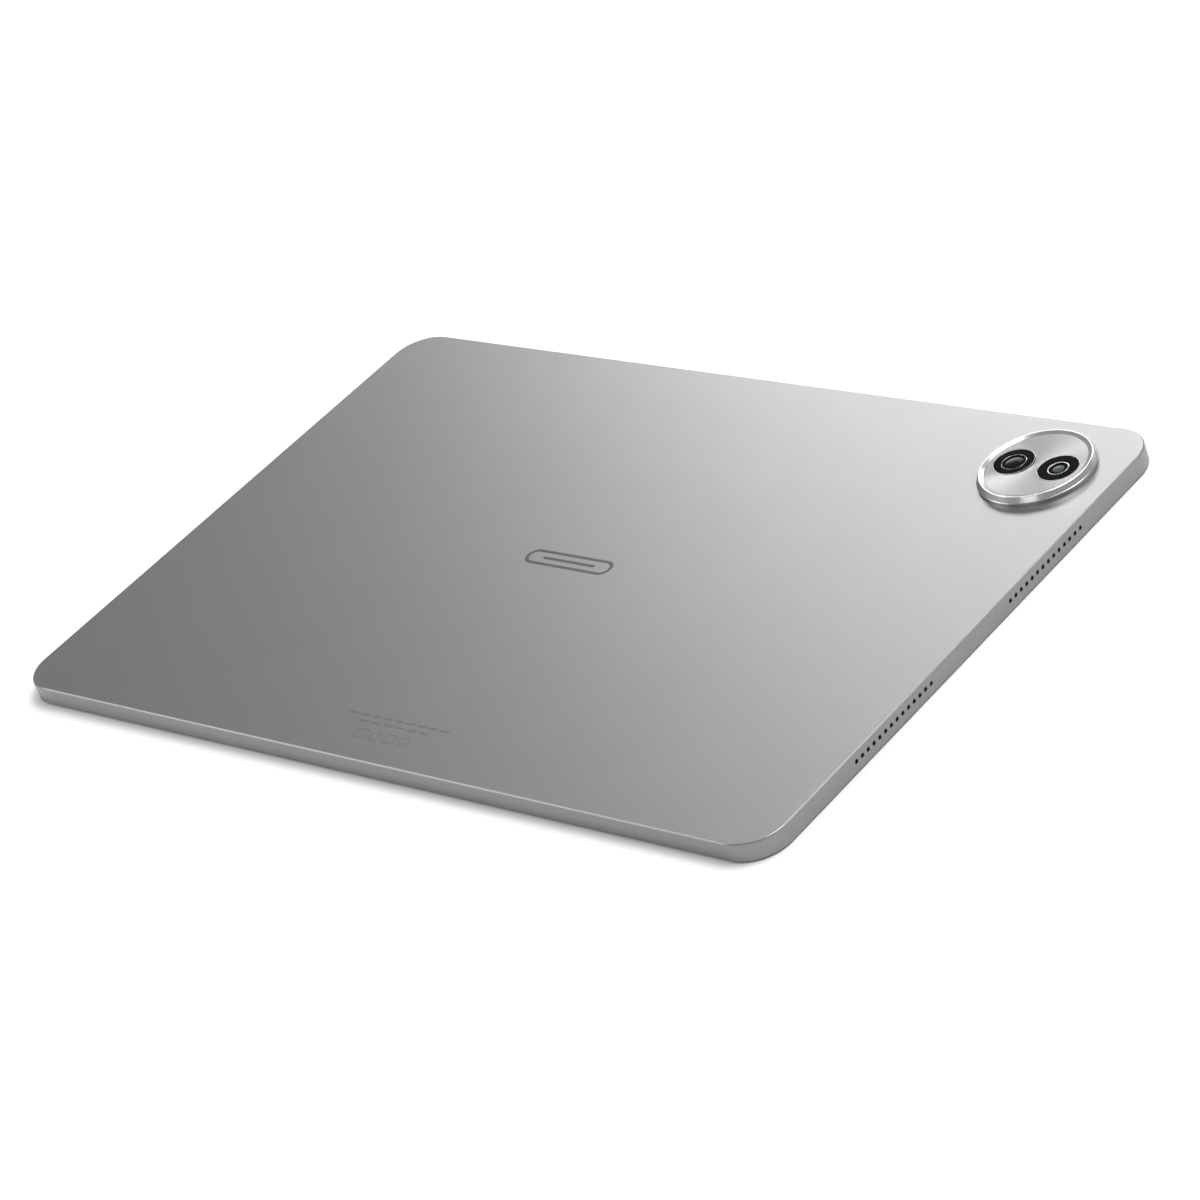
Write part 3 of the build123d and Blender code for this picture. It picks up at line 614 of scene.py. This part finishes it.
glass_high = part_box("cover_glass")[1]
glass_inset = half_x - glass_high.x / MM
glass_edge_radius = 0.2
glass_edge_steps = 6
display_border = 5.8
camera_spot_radius = 1.3
display_colour = (0.022, 0.023, 0.027)
camera_spot_colour = (0.05, 0.055, 0.09)


def glass_mesh(bm):
    """The front glass with its outer edge rounded."""
    levels = []
    for i in range(glass_edge_steps + 1):
        angle = math.radians(90 * i / glass_edge_steps)
        inset = glass_inset + glass_edge_radius * (1 - math.sin(angle))
        levels.append((inset, glass_edge_radius * (1 - math.cos(angle))))
    levels.append((glass_inset, glass_high.z / MM))
    add_loft(bm, [body_outline(inset, z) for inset, z in levels])


front_glass = new_piece("front_glass", glass_mesh, ("cover_glass",))


def front_glass_material():
    """Black border ink around a display area that is a little greyer, with the front camera's spot."""
    material, nodes, links, shader, place = new_material("front_glass")
    split = nodes.new("ShaderNodeSeparateXYZ")
    links.new(place, split.inputs["Vector"])

    def inside(axis, limit):
        size = nodes.new("ShaderNodeMath")
        size.operation = "ABSOLUTE"
        links.new(split.outputs[axis], size.inputs[0])
        test = nodes.new("ShaderNodeMath")
        test.operation = "LESS_THAN"
        test.inputs[1].default_value = limit
        links.new(size.outputs[0], test.inputs[0])
        return test.outputs[0]

    both = nodes.new("ShaderNodeMath")
    both.operation = "MULTIPLY"
    links.new(inside("X", (half_x - display_border) * MM), both.inputs[0])
    links.new(inside("Y", (half_y - display_border) * MM), both.inputs[1])
    black_or_lit = tint(nodes, links, both.outputs[0], grey(0.004), display_colour)
    spot_middle = box_middle("front_camera_module") * MM
    away = nodes.new("ShaderNodeVectorMath")
    away.operation = "DISTANCE"
    away.inputs[1].default_value = (spot_middle.x, spot_middle.y, 0)
    links.new(place, away.inputs[0])
    spot = nodes.new("ShaderNodeMath")
    spot.operation = "LESS_THAN"
    spot.inputs[1].default_value = camera_spot_radius * MM
    links.new(away.outputs["Value"], spot.inputs[0])
    coloured = nodes.new("ShaderNodeMix")
    coloured.data_type = "RGBA"
    coloured.inputs["B"].default_value = (*camera_spot_colour, 1)
    links.new(spot.outputs[0], coloured.inputs["Factor"])
    links.new(black_or_lit, coloured.inputs["A"])
    links.new(coloured.outputs["Result"], shader.inputs["Base Color"])
    smear = noise(nodes, links, place, 35, 5.0)
    links.new(remap(nodes, links, smear, 0.03, 0.09), shader.inputs["Roughness"])
    shader.inputs["Coat Weight"].default_value = 1.0
    shader.inputs["Coat Roughness"].default_value = 0.03
    return material


glass_ink = front_glass_material()
set_material(front_glass, glass_ink)


# ---------------------------------------------------------------- marks on the back

mark_lift = 0.012
mark_sink = 0.004
pill_half_length = 15.5
pill_half_height = 3.2
pill_line = 1.1
bar_half_length = 9.5
bar_half_height = 0.55
dash_rows = ((-73.2, 9, 3.4), (-75.6, 6, 3.6))  # a row's y, its dashes, and the length of one
dash_gap = 0.8
dash_half_height = 0.35
shapes_y = -80.3
shapes_pitch = 5.2
shapes_in_row = 4
shape_half = 1.85
shape_line = 0.35
shape_corners = (0.5, 1.8)
mark_ink = finish("mark_ink", grey(0.045), grey(0.06), 0.3, (0.35, 0.45), 9000, 0.05)
etched = finish("etched_mark", grey(0.19), grey(0.21), 1.0, (0.4, 0.5), 9000, 0.05)


def add_plate(bm, outline, x, y):
    """A very thin plate on the back."""
    around = [(x + px, y + py) for px, py in outline]
    add_loft(bm, [at_height(around, back_z - mark_sink), at_height(around, back_z + mark_lift)])


def add_outline_band(bm, outer, inner, x, y):
    """A thin closed band between two outlines with the same number of points."""
    low, high = back_z - mark_sink, back_z + mark_lift
    loops = []
    for outline, z in ((outer, low), (outer, high), (inner, high), (inner, low)):
        loops.append([bm.verts.new(Vector((x + px, y + py, z)) * MM) for px, py in outline])
    for lower, upper in zip(loops, loops[1:] + loops[:1]):
        for i in range(len(lower)):
            j = (i + 1) % len(lower)
            bm.faces.new((lower[i], lower[j], upper[j], upper[i]))


def round_ended(half_length, half_height, steps):
    """An outline with round ends."""
    return rounded_outline(half_length, half_height, half_height - full_round, steps)


def centre_mark(bm):
    """A plain pill outline round a short bar."""
    outer = round_ended(pill_half_length, pill_half_height, 16)
    inner = round_ended(pill_half_length - pill_line, pill_half_height - pill_line, 16)
    add_outline_band(bm, outer, inner, 0, 0)
    add_plate(bm, round_ended(bar_half_length, bar_half_height, 8), 0, 0)


def small_marks(bm):
    """Two rows of dashes and a row of small plain shapes, square and round in turn."""
    for y, count, dash in dash_rows:
        for i in range(count):
            x = (i - (count - 1) / 2) * (dash + dash_gap)
            add_plate(bm, round_ended(dash / 2, dash_half_height, 4), x, y)
    inside = shape_half - shape_line
    for i in range(shapes_in_row):
        x = (i - (shapes_in_row - 1) / 2) * shapes_pitch
        corner = shape_corners[i % 2]
        outer = rounded_outline(shape_half, shape_half, corner, 8)
        inner = rounded_outline(inside, inside, corner - shape_line, 8)
        add_outline_band(bm, outer, inner, x, shapes_y)


centre = new_piece("centre_mark", centre_mark)
set_material(centre, mark_ink)
small = new_piece("small_marks", small_marks)
set_material(small, etched)


# ---------------------------------------------------------------- the other nodes' materials

# A slot's dark and light colour, metallic, roughness range, grain scale, bump and further settings
slot_finishes = {
    "antenna_plastic": (grey(0.19), grey(0.21), 0.0, (0.45, 0.55), 12000, 0.2),
    "frame_plastic": (grey(0.012), grey(0.02), 0.0, (0.4, 0.5), 12000, 0.3),
    "black_adhesive": (grey(0.02), grey(0.03), 0.0, (0.6, 0.7), 4000, 0.2),
    "clear_adhesive": (grey(0.6), grey(0.7), 0.0, (0.2, 0.3), 4000, 0.1),
    "display": (grey(0.015), grey(0.02, 0.004), 0.0, (0.15, 0.2), 12000, 0.05),
    "steel_sheet": (grey(0.5), grey(0.56), 1.0, (0.25, 0.4), 5000, 0.2, (0.02, 1, 1)),
    "camera_black": (grey(0.015), grey(0.025), 0.0, (0.4, 0.5), 9000, 0.2),
    "key_aluminium": (grey(0.262), grey(0.278), 1.0, (0.32, 0.4), 14000, 0.2),
    "switch_plastic": (grey(0.08), grey(0.1), 0.0, (0.4, 0.5), 9000, 0.2),
    "flex_circuit": ((0.42, 0.19, 0.03), (0.5, 0.24, 0.05), 0.0, (0.25, 0.35), 900, 0.2, (1, 8, 1)),
    "socket_steel": (grey(0.55), grey(0.6), 1.0, (0.2, 0.3), 9000, 0.1),
    "socket_plastic": (grey(0.015), grey(0.025), 0.0, (0.35, 0.45), 9000, 0.2),
    "seal_rubber": (grey(0.02), grey(0.03), 0.0, (0.6, 0.75), 6000, 0.3),
    "circuit_board": ((0.006, 0.045, 0.03), (0.012, 0.07, 0.045), 0.0, (0.25, 0.4), 1500, 0.3,
                      (1, 1, 1), 0.3),
    "battery_foil": (grey(0.05), grey(0.07), 0.4, (0.35, 0.5), 700, 0.3),
    "chip_plastic": (grey(0.03), grey(0.04), 0.0, (0.5, 0.6), 9000, 0.3),
    "copper": ((0.62, 0.28, 0.15), (0.7, 0.34, 0.2), 1.0, (0.25, 0.4), 6000, 0.2),
    "screw_steel": (grey(0.4), grey(0.46), 1.0, (0.25, 0.35), 9000, 0.2),
    "magnet_nickel": (grey(0.5), grey(0.56), 1.0, (0.2, 0.3), 9000, 0.1),
    "microphone_can": ((0.68, 0.52, 0.25), (0.75, 0.6, 0.32), 1.0, (0.25, 0.35), 9000, 0.1),
    "speaker_plastic": (grey(0.02), grey(0.03), 0.0, (0.45, 0.55), 9000, 0.3),
    "driver_black": (grey(0.03), grey(0.04), 0.0, (0.35, 0.5), 6000, 0.2),
    "speaker_mesh": (grey(0.004), grey(0.015), 0.0, (0.7, 0.8), 5000, 0.5),
}
slot_materials = {slot: finish(slot, *settings) for slot, settings in slot_finishes.items()}
slot_materials["anodised_aluminium"] = anodised
slot_materials["front_glass"] = glass_ink
slot_materials["polished_aluminium"] = polished
slot_materials["brushed_silver"] = silver
slot_materials["lens_glass"] = gloss_black

for part in frame["record"]["subparts"]:
    set_material(frame["nodes"][part["node"]], slot_materials[part["material_slot"]])


# ---------------------------------------------------------------- camera, floor and light

camera_azimuth = 50.36
camera_elevation = 30.42
camera_roll = -20.98
camera_distance = 1.18946
camera_lens = 133.25
camera_target = Vector((18.12, -9.57, 2.9)) * MM


def direction(azimuth, elevation):
    """The direction outwards at an azimuth from -Y towards +X and an elevation, in degrees."""
    azimuth, elevation = math.radians(azimuth), math.radians(elevation)
    flat = math.cos(elevation)
    return Vector((math.sin(azimuth) * flat, -math.cos(azimuth) * flat, math.sin(elevation)))


def add_camera():
    """The camera, turned about its own axis after it is aimed."""
    away = direction(camera_azimuth, camera_elevation)
    camera = bpy.data.objects.new("camera", bpy.data.cameras.new("camera"))
    aim = away.to_track_quat("Z", "Y").to_matrix()
    roll = Matrix.Rotation(math.radians(camera_roll), 3, "Z")
    camera.matrix_world = Matrix.Translation(camera_target + away * camera_distance) @ (aim @ roll).to_4x4()
    camera.data.lens = camera_lens
    camera.data.sensor_width = 36
    camera.data.clip_start = 0.01
    bpy.context.scene.collection.objects.link(camera)
    bpy.context.scene.camera = camera


def add_floor():
    """A plain pale floor just under the glass."""
    half = 4.0
    corners = [(-half, -half, 0), (half, -half, 0), (half, half, 0), (-half, half, 0)]
    mesh = bpy.data.meshes.new("floor")
    mesh.from_pydata(corners, [], [(0, 1, 2, 3)])
    floor = bpy.data.objects.new("floor", mesh)
    floor.location.z = -0.05 * MM
    bpy.context.scene.collection.objects.link(floor)
    set_material(floor, finish("floor_paper", grey(0.86), grey(0.88), 0.0, (0.8, 0.9), 2000, 0.02))


def add_softbox(name, azimuth, elevation, distance, width, height, power):
    """An area light that faces the tablet, in metres and watts; its angles are as for the camera."""
    away = direction(azimuth, elevation)
    data = bpy.data.lights.new(name, "AREA")
    data.shape = "RECTANGLE"
    data.size = width
    data.size_y = height
    data.energy = power
    light = bpy.data.objects.new(name, data)
    turn = away.to_track_quat("Z", "Y").to_matrix().to_4x4()
    light.matrix_world = Matrix.Translation(away * distance) @ turn
    bpy.context.scene.collection.objects.link(light)


def add_world(strength):
    """A plain pale surround."""
    world = bpy.data.worlds.new("surround")
    world.use_nodes = True
    background = world.node_tree.nodes["Background"]
    background.inputs["Color"].default_value = (1, 1, 1, 1)
    background.inputs["Strength"].default_value = strength
    bpy.context.scene.world = world


add_camera()
add_floor()
add_world(strength=0.44)
add_softbox("far_softbox", azimuth=203.7, elevation=25.4, distance=2.12, width=1.66, height=0.38, power=20.5)
add_softbox("front_softbox", azimuth=18, elevation=27, distance=1.5, width=0.7, height=0.2, power=1.3)
add_softbox("left_softbox", azimuth=-53, elevation=33, distance=1.5, width=0.9, height=0.6, power=5.0)
add_softbox("overhead_softbox", azimuth=135, elevation=62, distance=1.8, width=1.2, height=1.2, power=30)
bpy.context.scene.view_settings.view_transform = "Standard"
